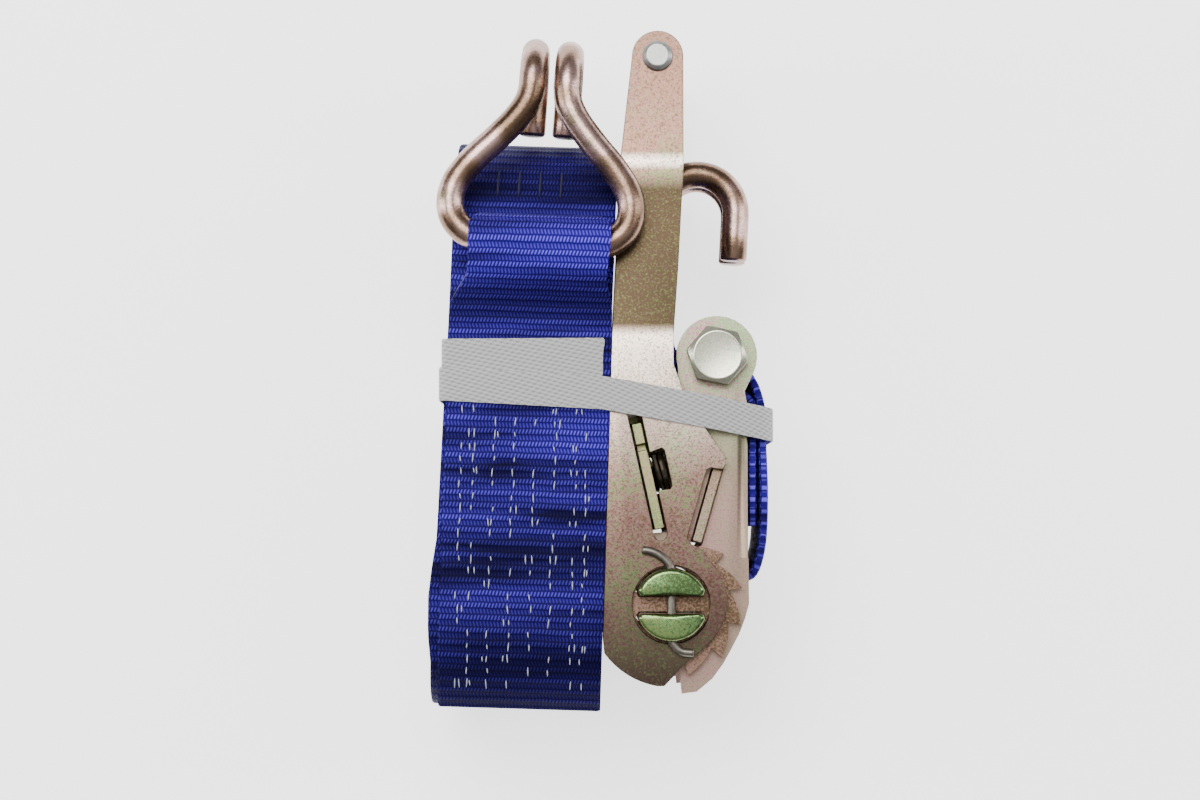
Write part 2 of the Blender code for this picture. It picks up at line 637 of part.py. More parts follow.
def make_long_strap():
    half = STRAP_WIDTH / 2
    outer = rounded_rectangle(ROLL_LENGTH, 0.0, ROLL_THICK, ROLL_CORNER_R)
    data = side_profile_to_world(outline_mesh("long_strap_roll", [outer], -half, half), ROLL_TILT_DEG)
    roll = place(data, "long_strap_roll", BLUE, (*ROLL_CENTRE, 0.0))
    groove = box_mesh("band_groove", (-60.0, 2.5, -5.0), (60.0, 17.0, 1.6))
    boolean(roll, cutter(groove, "band_groove", (*ROLL_CENTRE, 0.0)), "DIFFERENCE")
    pressed = cutter(cylinder_mesh("pressed_edge", TOOTH_TIP_R + 0.5, -5.0, 100.0, 96), "pressed_edge")
    boolean(roll, pressed, "DIFFERENCE")

    # the sewn end: a lower layer, the loop round the hook's bar, and an upper layer over it
    bar_y = LONG_HOOK_BAR[1] - ROLL_CENTRE[1]
    bar_z = ROLL_THICK + GAP + LOOP_R + STRAP_THICK / 2
    lower_z = ROLL_THICK + GAP + STRAP_THICK / 2
    upper_z = lower_z + STRAP_THICK + GAP
    end_y = -ROLL_LENGTH / 2
    lower = [(end_y + 12.0, lower_z), (bar_y - 22.0, lower_z), (bar_y - 12.0, lower_z), (bar_y - 4.0, lower_z)]
    loop = arc((bar_y, bar_z), LOOP_R, -90.0, 105.0, 18)
    upper = smooth_path([(bar_y - 9.0, bar_z + 4.4), (bar_y - 17.0, bar_z - 1.6), (bar_y - 25.0, upper_z + 0.1),
                         (bar_y - 34.0, upper_z)], 3)
    end = [(end_y + 16.0, upper_z), (end_y + 8.0, upper_z - 0.3)]
    path = lower + loop + upper + end
    shares = [min(max((y - bar_y + 22.0) / 18.0, 0.0), 1.0) for y, _ in path]
    data = webbing(path, [half - (half - LOOP_HALF_WIDTH) * share for share in shares], "long_strap_eye")
    for vert in data.vertices:
        vert.co.z += mm(EYE_SHIFT) * shares[vert.index // 4]
    data = side_profile_to_world(data, ROLL_TILT_DEG)
    eye = place(data, "long_strap_eye", BLUE, (*ROLL_CENTRE, 0.0))
    boolean(eye, pressed, "DIFFERENCE")

    tilt = Matrix.Rotation(math.radians(LONG_HOOK_TILT_DEG), 3, "Z")
    turn = tilt @ Matrix(((1, 0, 0), (0, 1, 0), (0, 0, -1)))
    make_hook("long_strap_hook", (*LONG_HOOK_BAR, bar_z), turn, LONG_HOOK_TIP)


def main():
    make_frame()
    make_eye_fasteners()
    make_short_strap()
    make_short_hook()
    make_packing_band()
    make_pawls()
    make_springs()
    make_handle()
    make_mandrel()
    make_long_strap()
    for part in PARTS.objects:
        part.data.shade_smooth()
        part.data.set_sharp_from_angle(angle=math.radians(35))
    bpy.context.view_layer.update()


main()
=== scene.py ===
"""The looks of a ratchet tie down: plated steel, blue webbing, stitching and a grey woven band."""

import math
import random

import bmesh
import bpy
from mathutils import Matrix, Vector


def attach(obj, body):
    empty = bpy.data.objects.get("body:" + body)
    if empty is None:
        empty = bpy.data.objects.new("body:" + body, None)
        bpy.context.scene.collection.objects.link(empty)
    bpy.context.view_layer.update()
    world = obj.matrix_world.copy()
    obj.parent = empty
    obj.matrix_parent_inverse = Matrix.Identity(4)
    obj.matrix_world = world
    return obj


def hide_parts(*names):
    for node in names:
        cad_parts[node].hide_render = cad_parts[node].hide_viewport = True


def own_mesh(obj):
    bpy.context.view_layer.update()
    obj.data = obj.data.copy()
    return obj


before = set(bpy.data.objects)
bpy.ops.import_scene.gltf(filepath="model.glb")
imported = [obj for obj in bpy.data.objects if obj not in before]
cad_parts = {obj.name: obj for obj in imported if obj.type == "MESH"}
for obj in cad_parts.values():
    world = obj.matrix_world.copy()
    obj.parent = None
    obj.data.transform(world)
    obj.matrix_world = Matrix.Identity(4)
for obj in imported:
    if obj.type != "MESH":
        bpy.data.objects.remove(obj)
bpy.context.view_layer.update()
random.seed(7)

# Sizes are in millimetres and colours are linear RGB. Points are in the ratchet's own axes, with its
# mandrel at X = 0, Y = 0: OFFSET moves them into the shared frame.
OFFSET = Vector((20.03, -71.49, 0.0))
MID_Z = 43.0                  # halfway between the two side plates
STRAP_WIDTH = 50.0
STRAP_THICK = 2.4
RIB = 3.8                     # two of the webbing's cross ribs
YARN = 1.05
EYE = (14.4, 76.4)            # the bolt that holds the short strap
SHORT_HOOK_BAR = Vector((-5.35, 77.2, MID_Z))
SHORT_HOOK_TILT = math.radians(-3.0)
LONG_HOOK_TIP = 12.0
SHORT_HOOK_TIP = 15.0
LONG_HOOK_BAR = Vector((-40.6, 111.0, 84.4))
LONG_HOOK_TILT = math.radians(-4.25)
ROLL_CENTRE = Vector((-44.6, 55.5, 0.0))
ROLL_TILT = math.radians(-1.75)
ROLL_LENGTH = 179.0
ROLL_THICK = 76.0
ROLL_CORNER_R = 26.0
LOOP_R = 6.9                  # webbing round a hook's bar, to the middle of its thickness
LOOP_HALF_WIDTH = 19.2        # webbing squeezed between the bends of the bar
TOP_HALF_WIDTH = 21.6         # and where it has come over the bar
EYE_SHIFT = 2.2               # how far the loop sits to the bar's right
END_SHIFT = 0.65              # and the whole sewn end to the roll's right
WIRE_R = 4.25
TIP_ROUND = 0.8               # the blunt end of a hook's point
BAND_WIDTH = 10.2
TURN_WIDTH = 11.8
CAMERA_FAR = 800.0
CAMERA_TILT = math.radians(87.0)
LENS = 78.48


# --- mesh helpers ---------------------------------------------------------------------------------------
def row(point):
    """A point in millimetres and ratchet axes, as metres in the shared frame."""
    return (Vector(point) + OFFSET) * 0.001


def show(data, name, body, material):
    made = bpy.data.objects.new(name, data)
    bpy.context.scene.collection.objects.link(made)
    data.materials.append(material)
    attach(made, body)
    return made


def finish_mesh(mesh, name, sharp_deg=180.0):
    """Mesh data from a bmesh, shaded smooth but for edges sharper than sharp_deg."""
    bmesh.ops.recalc_face_normals(mesh, faces=mesh.faces)
    data = bpy.data.meshes.new(name)
    mesh.to_mesh(data)
    mesh.free()
    data.shade_smooth()
    if sharp_deg < 180.0:
        data.set_sharp_from_angle(angle=math.radians(sharp_deg))
    return data


def skin(mesh, rings):
    """Faces between neighbouring rings of vertices, and a cap at each end."""
    for low, high in zip(rings, rings[1:]):
        for i in range(len(low)):
            j = (i + 1) % len(low)
            mesh.faces.new((low[i], low[j], high[j], high[i]))
    mesh.faces.new(rings[0][::-1])
    mesh.faces.new(rings[-1])


def arc(centre, radius, start_deg, end_deg, steps):
    made = []
    for i in range(steps + 1):
        angle = math.radians(start_deg + (end_deg - start_deg) * i / steps)
        made.append((centre[0] + radius * math.cos(angle), centre[1] + radius * math.sin(angle)))
    return made


def smooth_path(points, per_span):
    """A Catmull-Rom curve through the points, in as many dimensions as they have."""
    made = []
    count = len(points)
    for i in range(count - 1):
        four = [points[min(max(i + k, 0), count - 1)] for k in (-1, 0, 1, 2)]
        for step in range(per_span):
            t = step / per_span
            made.append(tuple(
                0.5 * (2 * b + (c - a) * t + (2 * a - 5 * b + 4 * c - d) * t * t
                       + (3 * b - a - 3 * c + d) * t ** 3)
                for a, b, c, d in zip(*four)
            ))
    made.append(tuple(points[-1]))
    return made


def tube(name, points, radius, body, material, resolution, end_round=0.0):
    """A round wire through points in mm, as a mesh. end_round is the length of each end's blunt tip."""
    points = [Vector(p) for p in points]
    radii = [1.0] * len(points)
    if end_round:
        for first, step in ((0, 1), (-1, -1)):
            tip, inner = points[first], points[first + step]
            away = (tip - inner).normalized()
            extra = [(tip + away * end_round * f, r) for f, r in ((0.55, 0.93), (0.88, 0.78), (1.0, 0.6))]
            if step == 1:
                points = [p for p, _ in extra[::-1]] + points
                radii = [r for _, r in extra[::-1]] + radii
            else:
                points += [p for p, _ in extra]
                radii += [r for _, r in extra]
    curve = bpy.data.curves.new(name, "CURVE")
    curve.dimensions = "3D"
    curve.bevel_depth = radius * 0.001
    curve.bevel_resolution = resolution
    curve.use_fill_caps = True
    spline = curve.splines.new("POLY")
    spline.points.add(len(points) - 1)
    for target, point, size in zip(spline.points, points, radii):
        target.co = (*row(point), 1.0)
        target.radius = size
    holder = bpy.data.objects.new(name, curve)
    bpy.context.scene.collection.objects.link(holder)
    graph = bpy.context.evaluated_depsgraph_get()
    data = bpy.data.meshes.new_from_object(holder.evaluated_get(graph))
    bpy.data.objects.remove(holder)
    body_mesh = bmesh.new()
    body_mesh.from_mesh(data)
    bmesh.ops.remove_doubles(body_mesh, verts=body_mesh.verts, dist=1e-6)
    bmesh.ops.recalc_face_normals(body_mesh, faces=body_mesh.faces)
    body_mesh.to_mesh(data)
    body_mesh.free()
    data.shade_smooth()
    data.set_sharp_from_angle(angle=math.radians(50))
    data.materials.clear()
    return show(data, name, body, material)


def bevelled(node, body, material, width):
    """A copy of a CAD node with small round edges, which stands for it."""
    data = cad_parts[node].data.copy()
    mesh = bmesh.new()
    mesh.from_mesh(data)
    bmesh.ops.remove_doubles(mesh, verts=mesh.verts, dist=1e-6)
    bmesh.ops.dissolve_limit(mesh, angle_limit=math.radians(0.6), verts=mesh.verts, edges=mesh.edges)
    mesh.to_mesh(data)
    mesh.free()
    data.materials.clear()
    made = show(data, node + "_look", body, material)
    bevel = made.modifiers.new("edges", "BEVEL")
    bevel.width = width * 0.001
    bevel.segments = 2
    bevel.limit_method = "ANGLE"
    bevel.angle_limit = math.radians(38)
    bevel.harden_normals = True
    data.shade_smooth()
    data.set_sharp_from_angle(angle=math.radians(38))
    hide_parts(node)
    return made


def ribbon(name, path, across, body, material, half_widths, thick=STRAP_THICK, shifts=None, closed=False):
    """Webbing along a path of 3D points in mm. Its UV is the place across and along it, in STRAP_WIDTHs."""
    across = Vector(across).normalized()
    path = [Vector(p) for p in path]
    count = len(path)
    edge = thick * 0.32           # half of the flat part of the webbing's edge
    taper = 0.7                   # where the webbing thins towards its edge
    mesh = bmesh.new()
    uv = mesh.loops.layers.uv.new("UVMap")
    rings, run, coords = [], 0.0, []
    for i, point in enumerate(path):
        before = path[i - 1] if (i or closed) else point
        after = path[(i + 1) % count] if (closed or i < count - 1) else point
        normal = (after - before).normalized().cross(across).normalized()
        half = half_widths[i]
        shift = shifts[i] if shifts else 0.0
        if i:
            run += (point - path[i - 1]).length
        section = [(-half, -edge), (-half + taper, -thick / 2)]
        section += [(half * f, -thick / 2) for f in (-0.5, 0.0, 0.5)]
        section += [(half - taper, -thick / 2), (half, -edge), (half, edge), (half - taper, thick / 2)]
        section += [(half * f, thick / 2) for f in (0.5, 0.0, -0.5)]
        section += [(-half + taper, thick / 2), (-half, edge)]
        ring = [mesh.verts.new(row(point + across * (a + shift) + normal * b)) for a, b in section]
        rings.append(ring)
        coords.append(([a for a, _ in section], run))
    pairs = [(i, i + 1) for i in range(count - 1)]
    if closed:
        pairs.append((count - 1, 0))
    size = len(rings[0])
    total = run + (path[0] - path[-1]).length
    for i, j in pairs:
        for k in range(size):
            n = (k + 1) % size
            face = mesh.faces.new((rings[i][k], rings[i][n], rings[j][n], rings[j][k]))
            low, high = coords[i][1], coords[j][1] if j else total
            values = [(coords[i][0][k], low), (coords[i][0][n], low), (coords[j][0][n], high),
                      (coords[j][0][k], high)]
            for loop, value in zip(face.loops, values):
                loop[uv].uv = (value[0] / STRAP_WIDTH, value[1] / STRAP_WIDTH)
    if not closed:
        mesh.faces.new(rings[0][::-1])
        mesh.faces.new(rings[-1])
    return show(finish_mesh(mesh, name, 55), name, body, material)


# --- materials ------------------------------------------------------------------------------------------
class Nodes:
    """Adds nodes to one material. A node given as a value stands for its first output."""

    def __init__(self, name):
        self.material = bpy.data.materials.new(name)
        self.material.use_nodes = True
        self.tree = self.material.node_tree
        self.shader = self.tree.nodes["Principled BSDF"]

    def add(self, kind, inputs=(), **settings):
        node = self.tree.nodes.new("ShaderNode" + kind)
        for key, value in settings.items():
            setattr(node, key, value)
        for key, value in dict(inputs).items():
            self.put(node.inputs[key], value)
        return node

    def put(self, socket, value):
        if isinstance(value, bpy.types.Node):
            value = value.outputs[0]
        if isinstance(value, bpy.types.NodeSocket):
            self.tree.links.new(value, socket)
        else:
            socket.default_value = value

    def math(self, operation, a, b=0.0, clamp=False):
        return self.add("Math", {0: a, 1: b}, operation=operation, use_clamp=clamp)

    def times(self, a, b, clamp=False):
        return self.math("MULTIPLY", a, b, clamp)

    def plus(self, a, b, clamp=False):
        return self.math("ADD", a, b, clamp)

    def minus(self, a, b, clamp=False):
        return self.math("SUBTRACT", a, b, clamp)

    def span(self, value, low, high, start, end):
        """From start to end as value goes from low to high, and level beyond them."""
        return self.add("MapRange", {0: value, 1: low, 2: high, 3: start, 4: end})

    def ramp(self, value, stops):
        node = self.add("ValToRGB", {0: value})
        ramp = node.color_ramp
        while len(ramp.elements) < len(stops):
            ramp.elements.new(0.5)
        for element, (place, colour) in zip(ramp.elements, stops):
            element.position = place
            element.color = (*colour, 1.0)
        return node

    def mix(self, factor, a, b):
        node = self.add("Mix", data_type="RGBA")
        self.put(node.inputs[0], factor)
        for index, value in ((6, a), (7, b)):
            self.put(node.inputs[index], (*value, 1.0) if isinstance(value, tuple) else value)
        return node.outputs[2]

    def noise(self, scale, detail, vector=None, roughness=0.5):
        vector = vector or self.add("TexCoord").outputs["Object"]
        inputs = {"Vector": vector, "Scale": scale, "Detail": detail, "Roughness": roughness}
        return self.add("TexNoise", inputs)

    def bump(self, height, strength, distance):
        node = self.add("Bump", {"Height": height, "Strength": strength, "Distance": distance})
        self.put(self.shader.inputs["Normal"], node)

    def finish(self, colour, roughness, metallic=0.0, **others):
        self.put(self.shader.inputs["Base Color"], colour)
        self.put(self.shader.inputs["Roughness"], roughness)
        self.shader.inputs["Metallic"].default_value = metallic
        for key, value in others.items():
            self.shader.inputs[key.replace("_", " ")].default_value = value
        return self.material


def painted_handle_light(nodes, y, colour):
    """A handle plate's tones along it: painted shade at the foot and on the incline, painted highlights on
    the flat and the fold, and a pinkish arm.
    """
    low, high = 0.0105, 0.0645    # the incline's ends, in metres along Y
    step = 0.004                  # how sharply the tone turns there
    # Painted highlight on the flat below the incline.
    bright = nodes.span(y, low - 0.045, low, 0.0, 0.95)
    above = nodes.span(y, low, low + step, 1.0, 0.0)
    colour = nodes.mix(nodes.times(bright, above), colour, (1.0, 0.84, 0.70))
    # Painted shade on the incline.
    rise = nodes.span(y, low, low + step, 0.0, 0.97)
    fall = nodes.span(y, high - 0.008, high, 1.0, 0.0)
    colour = nodes.mix(nodes.times(rise, fall), colour, (0.034, 0.022, 0.008))
    # Painted shade, darker towards the foot.
    painted_handle_foot_shade = nodes.span(y, low - 0.02, -0.095, 0.0, 0.97)
    colour = nodes.mix(painted_handle_foot_shade, colour, (0.035, 0.018, 0.017))
    end = nodes.span(y, high + 0.012, 0.106, 0.6, 0.85)
    past = nodes.span(y, high - step, high + step, 0.0, 1.0)
    colour = nodes.mix(nodes.times(end, past), colour, (0.21, 0.11, 0.075))
    # Painted highlight along the fold at the incline's top.
    off_fold = nodes.math("ABSOLUTE", nodes.minus(y, high + 0.001))
    fold = nodes.minus(1.0, nodes.times(off_fold, 350.0), True)
    return nodes.mix(fold, colour, (0.95, 0.80, 0.70))


def zinc(name, stops, speckle, roughness=0.33, shade=None, painted_foot_shade_tone=None):
    """Yellow zinc plating: clouds of pink, gold and green, brown speckle, and painted shade on faces that
    look sideways, the cut edges among them.
    """
    nodes = Nodes(name)
    where = nodes.add("TexCoord").outputs["Object"]
    clouds = nodes.noise(38.0, 2.0, where)
    fine = nodes.noise(1300.0, 2.0, where, 0.7)
    colour = nodes.ramp(nodes.plus(clouds, nodes.times(nodes.minus(fine, 0.5), 1.7)), stops)
    y = nodes.add("SeparateXYZ", {0: where}).outputs[1]
    # Painted shade with a pinker tint, towards the foot.
    if painted_foot_shade_tone:
        colour = nodes.mix(nodes.span(y, 0.0, -0.035, 0.0, 0.65), colour, painted_foot_shade_tone)
    if shade:
        colour = shade(nodes, y, colour)
    glint = nodes.times(nodes.minus(nodes.noise(1500.0, 1.0, where), 0.5), 3.0, True)
    colour = nodes.mix(nodes.times(glint, speckle * 0.6), colour, (0.17, 0.22, 0.07))
    dots = nodes.times(nodes.minus(nodes.noise(1700.0, 1.0, where), 0.5), 6.0, True)
    colour = nodes.mix(nodes.times(dots, speckle), colour, (0.06, 0.03, 0.025))
    # Painted shade: faces that look sideways are darkened by their normal's direction.
    up = nodes.add("SeparateXYZ", {0: nodes.add("TexCoord").outputs["Normal"]}).outputs[2]
    side = nodes.minus(1.0, nodes.math("ABSOLUTE", up), True)
    colour = nodes.mix(nodes.times(nodes.math("POWER", side, 0.8), 0.9), colour, (0.085, 0.065, 0.022))
    nodes.bump(fine, 0.05, 0.0002)
    return nodes.finish(colour, nodes.plus(nodes.times(clouds, 0.18), roughness - 0.08), 0.85)


def wire_metal(name):
    """The hooks' brownish plating, smoother than the plates, with pink and gold clouds."""
    nodes = Nodes(name)
    where = nodes.add("TexCoord").outputs["Object"]
    clouds = nodes.noise(70.0, 3.0, where)
    fine = nodes.noise(1300.0, 2.0, where)
    colour = nodes.ramp(clouds, [(0.32, (0.13, 0.080, 0.05)), (0.46, (0.27, 0.17, 0.12)),
                                 (0.58, (0.50, 0.33, 0.30)), (0.70, (0.20, 0.17, 0.09))])
    dots = nodes.times(nodes.minus(fine, 0.55), 4.0, True)
    colour = nodes.mix(nodes.times(dots, 0.4), colour, (0.12, 0.06, 0.03))
    nodes.bump(nodes.plus(nodes.times(fine, 0.4), clouds), 0.25, 0.0004)
    return nodes.finish(colour, nodes.plus(nodes.times(fine, 0.24), 0.17), 0.95)


def steel(name, tone):
    nodes = Nodes(name)
    fine = nodes.noise(900.0, 3.0)
    colour = nodes.ramp(fine, [(0.3, tuple(c * 0.7 for c in tone)), (0.7, tone)])
    nodes.bump(fine, 0.12, 0.0002)
    return nodes.finish(colour, nodes.plus(nodes.times(fine, 0.25), 0.25), 0.9)


def weave_place(nodes):
    """The place across and along the webbing, in mm."""
    uv = nodes.add("SeparateXYZ", {0: nodes.add("TexCoord").outputs["UV"]})
    return nodes.times(uv.outputs[0], STRAP_WIDTH), nodes.times(uv.outputs[1], STRAP_WIDTH)


def webbing(name, dark, middle, light):
    """Ribs across the strap, each a row of slanted lighter yarns: the next row slants the other way."""
    nodes = Nodes(name)
    u, v = weave_place(nodes)
    v = nodes.plus(v, nodes.times(nodes.noise(90.0, 2.0), 0.8))
    wave = nodes.math("SINE", nodes.times(v, 2 * math.pi / RIB))
    row_sign = nodes.math("SIGN", wave)
    crest = nodes.math("ABSOLUTE", wave)
    slanted = nodes.plus(u, nodes.times(row_sign, nodes.times(v, 0.30)))
    yarn = nodes.math("SINE", nodes.times(slanted, 2 * math.pi / YARN))
    dash = nodes.times(nodes.plus(yarn, 0.1), 2.0, True)
    band = nodes.times(nodes.minus(crest, 0.22), 2.2, True)
    weight = nodes.plus(nodes.times(row_sign, 0.22), 0.72)
    # The tone wanders along the strap at random; painted shade darkens it towards the roll's ends and where
    # the strap dips on top.
    where = nodes.add("TexCoord").outputs["Object"]
    stretched = nodes.add("Mapping", {"Vector": where, "Scale": (0.35, 3.2, 0.5)}).outputs[0]
    streak = nodes.times(nodes.minus(nodes.noise(30.0, 3.0, stretched), 0.36), 3.4, True)
    y = nodes.add("SeparateXYZ", {0: where}).outputs[1]
    # Painted shade towards the strap's foot and the roll's head, and in the dip on top.
    foot = nodes.span(y, -0.020, -0.098, 1.0, 0.12)
    head = nodes.span(y, 0.040, 0.060, 1.0, 0.2)
    rise = nodes.span(y, 0.011, 0.016, 0.0, 0.85)
    fall = nodes.span(y, 0.022, 0.031, 1.0, 0.0)
    painted_dip_shade = nodes.minus(1.0, nodes.times(rise, fall))
    # lit is the painted shade times the random streaks of tone.
    lit = nodes.times(nodes.times(nodes.times(foot, head), painted_dip_shade), streak)
    bright = nodes.times(nodes.times(dash, band), nodes.plus(lit, 0.06))
    colour = nodes.mix(nodes.times(bright, weight, True), nodes.mix(lit, dark, middle), light)
    colour = nodes.mix(nodes.times(nodes.minus(0.4, crest, True), 1.2), colour, dark)
    height = nodes.plus(nodes.times(wave, 0.6), nodes.times(yarn, 0.3))
    nodes.bump(nodes.plus(height, nodes.times(nodes.noise(1800.0, 2.0), 0.2)), 0.7, 0.0003)
    return nodes.finish(colour, 0.6, 0.0, Specular_IOR_Level=0.06)


def band_cloth(name):
    """Pale grey twill with fine slanted lines."""
    nodes = Nodes(name)
    u, v = weave_place(nodes)
    lines = nodes.math("SINE", nodes.plus(nodes.times(u, 5.2), nodes.times(v, 1.1)))
    cross = nodes.math("SINE", nodes.minus(nodes.times(u, 3.1), nodes.times(v, 2.6)))
    weave = nodes.plus(nodes.times(lines, 0.6), nodes.times(cross, 0.4))
    share = nodes.plus(nodes.times(weave, 0.5), 0.5, True)
    colour = nodes.ramp(share, [(0.0, (0.24, 0.23, 0.235)), (0.45, (0.39, 0.385, 0.39)),
                                (1.0, (0.49, 0.485, 0.49))])
    nodes.bump(weave, 0.5, 0.0002)
    return nodes.finish(colour, 0.75, 0.0, Sheen_Weight=0.15)


def thread(name, tone):
    nodes = Nodes(name)
    colour = nodes.ramp(nodes.noise(2500.0, 2.0), [(0.3, tuple(c * 0.6 for c in tone)), (0.65, tone)])
    return nodes.finish(colour, 0.7)


PINK, GREEN = (0.45, 0.19, 0.24), (0.19, 0.34, 0.15)
HANDLE = zinc("handle_plating", [(0.34, (0.26, 0.15, 0.09)), (0.46, PINK), (0.56, (0.36, 0.25, 0.16)),
                                 (0.68, (0.24, 0.34, 0.13))], 0.6, shade=painted_handle_light)
FRAME = zinc("frame_plating", [(0.34, (0.36, 0.46, 0.24)), (0.48, GREEN), (0.58, (0.48, 0.50, 0.34)),
                               (0.70, PINK)], 0.25, painted_foot_shade_tone=(0.42, 0.20, 0.20))
WHEEL = zinc("wheel_plating", [(0.34, (0.12, 0.07, 0.04)), (0.5, (0.24, 0.15, 0.09)),
                               (0.66, (0.30, 0.17, 0.14))], 0.45)
MANDREL = zinc("mandrel_plating", [(0.34, (0.09, 0.15, 0.05)), (0.5, (0.13, 0.28, 0.10)),
                                   (0.66, (0.22, 0.30, 0.10))], 0.2, 0.2)
BOLT = zinc("bolt_plating", [(0.34, (0.50, 0.60, 0.42)), (0.5, (0.82, 0.72, 0.64)),
                             (0.66, (0.56, 0.60, 0.42))], 0.15, 0.28)
PAWL = zinc("pawl_plating", [(0.34, (0.24, 0.26, 0.11)), (0.5, (0.34, 0.40, 0.17)),
                             (0.66, (0.38, 0.26, 0.16))], 0.35)
LOCK = zinc("lock_pawl_plating", [(0.34, (0.30, 0.22, 0.12)), (0.5, (0.50, 0.30, 0.28)),
                                  (0.66, (0.26, 0.30, 0.14))], 0.5)
HOOK = wire_metal("hook_plating")
STEEL = steel("plain_steel", (0.42, 0.42, 0.41))
SPRING = steel("spring_steel", (0.12, 0.10, 0.07))
PIN = steel("pin_steel", (0.20, 0.18, 0.15))
BLUE = webbing("blue_webbing", (0.0018, 0.0003, 0.020), (0.0210, 0.0040, 0.230), (0.150, 0.110, 0.88))
BAND = band_cloth("grey_band")
WHITE_THREAD = thread("white_thread", (0.50, 0.52, 0.66))
DARK_THREAD = thread("dark_thread", (0.004, 0.002, 0.03))


# --- plates, fasteners and hooks ------------------------------------------------------------------------
def hex_head(name, centre, half_across_flats, low, high, turn_deg, body, material, flat_r):
    """A hexagonal head with the round chamfer a pressed one has."""
    mesh = bmesh.new()
    steps = 72
    slope, dish = 0.62, 0.12
    rings = [[] for _ in range(4)]
    for i in range(steps):
        angle = 2 * math.pi * i / steps
        local = (math.degrees(angle) - turn_deg) % 60.0 - 30.0
        reach = half_across_flats / math.cos(math.radians(local))
        fall = max(reach - flat_r, 0.0) * slope
        levels = ((reach, low), (reach, high - fall), (flat_r, high), (flat_r * 0.93, high - dish))
        for ring, (r, z) in zip(rings, levels):
            place = (centre[0] + r * math.cos(angle), centre[1] + r * math.sin(angle), z)
            ring.append(mesh.verts.new(row(place)))
    skin(mesh, rings)
    made = show(finish_mesh(mesh, name, 20), name, body, material)
    bevel = made.modifiers.new("edges", "BEVEL")
    bevel.width = 0.00018
    bevel.segments = 2
    bevel.limit_method = "ANGLE"
    bevel.angle_limit = math.radians(20)
    return made


def make_metal():
    """The CAD's flat and turned parts with small round edges, and the bolt drawn afresh."""
    plates = {                    # each node's body, material and edge width
        "frame": ("frame", FRAME, 0.4), "eye_washer": ("frame", BOLT, 0.2), "eye_nut": ("frame", BOLT, 0.4),
        "eye_sleeve": ("frame", STEEL, 0.3), "lock_pawl": ("lock_pawl", LOCK, 0.35),
        "drive_pawl": ("drive_pawl", PAWL, 0.35), "handle_side_near": ("handle", HANDLE, 0.45),
        "handle_side_far": ("handle", HANDLE, 0.45), "handle_crossplate": ("handle", HANDLE, 0.3),
        "grip_sleeve": ("handle", HANDLE, 0.3), "ratchet_wheel_near": ("mandrel", WHEEL, 0.3),
        "ratchet_wheel_far": ("mandrel", WHEEL, 0.3), "grip_rivet": ("handle", STEEL, 0.4),
    }
    for node, (body, material, width) in plates.items():
        bevelled(node, body, material, width)
    top, head_height = MID_Z + 36.7, 6.4
    head = hex_head("eye_bolt_head", EYE, 8.4, top - head_height, top, 48.5, "frame", BOLT, 7.3)
    shank = [(*EYE, 1.0), (*EYE, 2.0), (*EYE, top - 5.0)]
    tube("eye_bolt_shank", shank, 5.0, "frame", BOLT, 8)
    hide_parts("eye_bolt")


def make_mandrel():
    """The two half-moon bars, with the well rounded ends of cold-headed bar."""
    chord, radius, half_length, fillet = 2.65, 11.15, 42.95, 1.7
    blunt = math.degrees(math.asin(chord / radius)) + 9.0
    steps = [(fillet * (1 - math.cos(math.radians(a))), fillet * (1 - math.sin(math.radians(a))))
             for a in (90, 75, 60, 45, 30, 15, 0)]
    levels = [(rise - half_length, inset) for inset, rise in steps]
    levels += [(half_length - rise, inset) for inset, rise in steps[::-1]]
    middle = Vector((0.0, 6.2))   # the ends' edges are drawn in towards here
    for label, side in (("upper", 1), ("lower", -1)):
        outline = arc((0.0, 0.0), radius, blunt, 180.0 - blunt, 28)
        reach = outline[0][0] - 0.9
        outline += [(-reach - 0.5, chord + 0.25), (-reach, chord)]
        outline += [(reach * f, chord) for f in (-0.6, -0.2, 0.2, 0.6)]
        outline += [(reach, chord), (reach + 0.5, chord + 0.25)]
        mesh = bmesh.new()
        rings = []
        for z, inset in levels:
            ring = []
            for x, y in outline:
                point = Vector((x, y))
                inward = middle - point
                point += inward.normalized() * min(inset, inward.length)
                ring.append(mesh.verts.new(row((point.x, side * point.y, MID_Z + z))))
            rings.append(ring)
        skin(mesh, rings)
        name = "mandrel_" + label
        made = show(finish_mesh(mesh, name, 40), name, "mandrel", MANDREL)
        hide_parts("mandrel_half_" + label)


def hook_points(tip):
    """Half of a double J hook: u across, v from the bar to the bend, w down from the hook's plane."""
    arm_u, bend_v, bend_r = 5.35, 47.5, 12.25
    shoulder = [(0.0, 0.0, 0.0), (9.0, 0.0, 0.0), (18.0, 0.0, 0.0), (22.5, 1.2, 0.0), (26.6, 5.4, 0.0),
                (27.75, 11.0, 0.0), (26.2, 17.0, 0.0), (21.6, 23.6, 0.0), (15.4, 30.2, 0.0),
                (9.6, 37.0, 0.0), (6.3, 42.6, 0.0), (arm_u, bend_v, 0.0)]
    half = smooth_path(shoulder, 6)
    for along, height in arc((0.0, 0.0), bend_r, 90.0, -90.0, 30)[1:]:
        half.append((arm_u, bend_v + along, bend_r - height))
    half.append((arm_u, bend_v - tip / 2, 2 * bend_r))
    half.append((arm_u, bend_v - tip + TIP_ROUND, 2 * bend_r))
    return half


